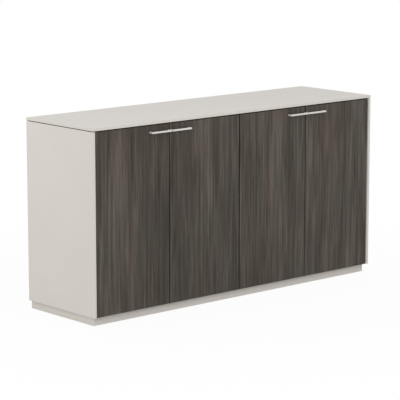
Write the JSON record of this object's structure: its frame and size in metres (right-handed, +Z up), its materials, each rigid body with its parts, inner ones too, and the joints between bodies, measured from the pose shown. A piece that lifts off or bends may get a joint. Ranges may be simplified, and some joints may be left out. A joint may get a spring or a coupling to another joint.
{
  "type": "office credenza",
  "caption": "Low office storage credenza in light laminate with hinged dark wood-grain doors, bar pulls, adjustable shelves and a recessed plinth.",
  "frame": {"origin": "centre of the bounding box at the floor, pulls included", "axes": "+X along the width to the right seen from the front, +Y from the front to the back, +Z up"},
  "size_m": [1.829, 0.526, 0.932],
  "materials": {
    "light_laminate": "matte light warm-grey laminate",
    "grey_melamine": "matte melamine, inside of the case",
    "dark_woodgrain": "satin dark grey-brown wood-grain laminate",
    "satin_nickel": "satin nickel",
    "plated_steel": "bright nickel plate",
    "black_plastic": "matte black moulding"
  },
  "bodies": {
    "case": {"top_panel": "light_laminate", "left_end_panel": "light_laminate", "right_end_panel": "light_laminate", "plinth_front_rail": "light_laminate", "plinth_back_rail": "light_laminate", "plinth_left_rail": "light_laminate", "plinth_right_rail": "light_laminate", "carcass_left_side": "grey_melamine", "carcass_right_side": "grey_melamine", "carcass_top": "grey_melamine", "carcass_bottom": "grey_melamine", "centre_partition": "grey_melamine", "back_panel": "grey_melamine", "left_shelf": "grey_melamine", "right_shelf": "grey_melamine", "plinth_centre_bearer": "grey_melamine", "left_outer_lower_hinge_arm": "plated_steel", "left_outer_lower_hinge_plate": "plated_steel", "left_outer_upper_hinge_arm": "plated_steel", "left_outer_upper_hinge_plate": "plated_steel", "left_inner_lower_hinge_arm": "plated_steel", "left_inner_lower_hinge_plate": "plated_steel", "left_inner_upper_hinge_arm": "plated_steel", "left_inner_upper_hinge_plate": "plated_steel", "right_inner_lower_hinge_arm": "plated_steel", "right_inner_lower_hinge_plate": "plated_steel", "right_inner_upper_hinge_arm": "plated_steel", "right_inner_upper_hinge_plate": "plated_steel", "right_outer_lower_hinge_arm": "plated_steel", "right_outer_lower_hinge_plate": "plated_steel", "right_outer_upper_hinge_arm": "plated_steel", "right_outer_upper_hinge_plate": "plated_steel"},
    "left_outer_door": {"left_outer_door": "dark_woodgrain", "left_outer_pull": "satin_nickel", "left_outer_lower_hinge_cup": "plated_steel", "left_outer_lower_hinge_pin": "plated_steel", "left_outer_upper_hinge_cup": "plated_steel", "left_outer_upper_hinge_pin": "plated_steel"},
    "left_inner_door": {"left_inner_door": "dark_woodgrain", "left_inner_pull": "satin_nickel", "left_inner_lower_hinge_cup": "plated_steel", "left_inner_lower_hinge_pin": "plated_steel", "left_inner_upper_hinge_cup": "plated_steel", "left_inner_upper_hinge_pin": "plated_steel"},
    "right_inner_door": {"right_inner_door": "dark_woodgrain", "right_inner_pull": "satin_nickel", "right_inner_lower_hinge_cup": "plated_steel", "right_inner_lower_hinge_pin": "plated_steel", "right_inner_upper_hinge_cup": "plated_steel", "right_inner_upper_hinge_pin": "plated_steel"},
    "right_outer_door": {"right_outer_door": "dark_woodgrain", "right_outer_pull": "satin_nickel", "right_outer_lower_hinge_cup": "plated_steel", "right_outer_lower_hinge_pin": "plated_steel", "right_outer_upper_hinge_cup": "plated_steel", "right_outer_upper_hinge_pin": "plated_steel"},
    "leveller_front_left": {"leveller_front_left": "black_plastic"},
    "leveller_front_right": {"leveller_front_right": "black_plastic"},
    "leveller_back_left": {"leveller_back_left": "black_plastic"},
    "leveller_back_right": {"leveller_back_right": "black_plastic"}
  },
  "joints": [
    {"name": "left_outer_door_hinge", "type": "hinge", "parent": "case", "child": "left_outer_door", "pos_m": [-0.889, -0.2315, 0.479], "axis": [0, 0, -1], "range_deg": [0, 105]},
    {"name": "left_inner_door_hinge", "type": "hinge", "parent": "case", "child": "left_inner_door", "pos_m": [-0.012, -0.2315, 0.479], "axis": [0, 0, 1], "range_deg": [0, 86]},
    {"name": "right_inner_door_hinge", "type": "hinge", "parent": "case", "child": "right_inner_door", "pos_m": [0.012, -0.2315, 0.479], "axis": [0, 0, -1], "range_deg": [0, 86]},
    {"name": "right_outer_door_hinge", "type": "hinge", "parent": "case", "child": "right_outer_door", "pos_m": [0.889, -0.2315, 0.479], "axis": [0, 0, 1], "range_deg": [0, 105]},
    {"name": "leveller_front_left_screw", "type": "slide", "parent": "case", "child": "leveller_front_left", "axis": [0, 0, 1], "range_m": [-0.01, 0]},
    {"name": "leveller_front_right_screw", "type": "slide", "parent": "case", "child": "leveller_front_right", "axis": [0, 0, 1], "range_m": [-0.01, 0]},
    {"name": "leveller_back_left_screw", "type": "slide", "parent": "case", "child": "leveller_back_left", "axis": [0, 0, 1], "range_m": [-0.01, 0]},
    {"name": "leveller_back_right_screw", "type": "slide", "parent": "case", "child": "leveller_back_right", "axis": [0, 0, 1], "range_m": [-0.01, 0]}
  ]
}
